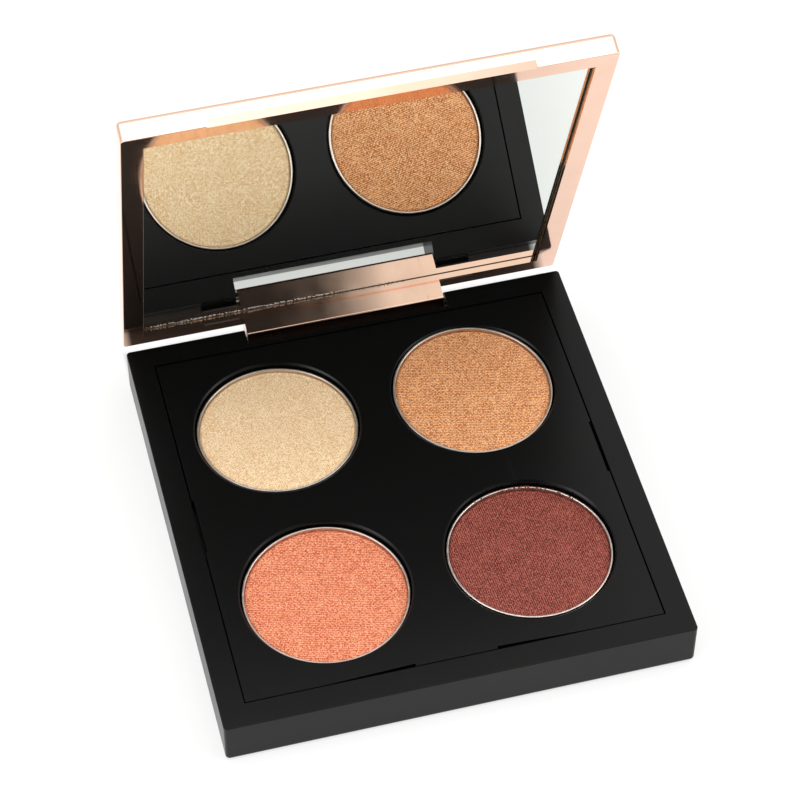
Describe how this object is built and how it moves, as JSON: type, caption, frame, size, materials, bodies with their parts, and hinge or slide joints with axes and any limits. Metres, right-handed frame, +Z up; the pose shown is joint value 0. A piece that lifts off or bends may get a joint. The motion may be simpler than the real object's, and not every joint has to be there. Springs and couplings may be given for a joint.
{
  "type": "eyeshadow palette",
  "caption": "Square compact: a black tray of round pressed eyeshadows, under a rose-gold mirror lid on a wide rear hinge knuckle.",
  "frame": {"origin": "centre of the tray's flat underside, where it rests", "axes": "+Z up, +Y towards the hinge, +X to the right as the user faces the open palette"},
  "size_m": [0.075, 0.083, 0.0807],
  "materials": {
    "black_plastic": "satin moulded",
    "rose_gold": "vacuum-plated rose gold, mirror-like",
    "mirror": "silvered glass",
    "tin": "tin-plated, drawn",
    "powder_champagne": "pressed shimmer powder, cloth-printed",
    "powder_copper": "pressed shimmer powder, cloth-printed",
    "powder_coral": "pressed shimmer powder, cloth-printed",
    "powder_burgundy": "pressed shimmer powder, cloth-printed",
    "steel": "drawn wire",
    "magnet": "nickel-plated",
    "adhesive": "double-sided foam"
  },
  "bodies": {
    "tray": {"base_tray": "black_plastic", "insert_plate": "black_plastic", "hinge_pin_left": "steel", "hinge_pin_right": "steel", "base_magnet_left": "magnet", "base_magnet_right": "magnet", "pan_rear_left": "tin", "powder_rear_left": "powder_champagne", "glue_pad_rear_left": "adhesive", "pan_rear_right": "tin", "powder_rear_right": "powder_copper", "glue_pad_rear_right": "adhesive", "pan_front_left": "tin", "powder_front_left": "powder_coral", "glue_pad_front_left": "adhesive", "pan_front_right": "tin", "powder_front_right": "powder_burgundy", "glue_pad_front_right": "adhesive"},
    "lid": {"lid_shell": "rose_gold", "mirror": "mirror", "mirror_tape": "adhesive", "lid_magnet_left": "magnet", "lid_magnet_right": "magnet"}
  },
  "joints": [
    {"name": "lid_hinge", "type": "hinge", "parent": "tray", "child": "lid", "pos_m": [0, 0.0386, 0.00576], "axis": [-1, 0, 0], "range_deg": [-71.4, 60]}
  ]
}
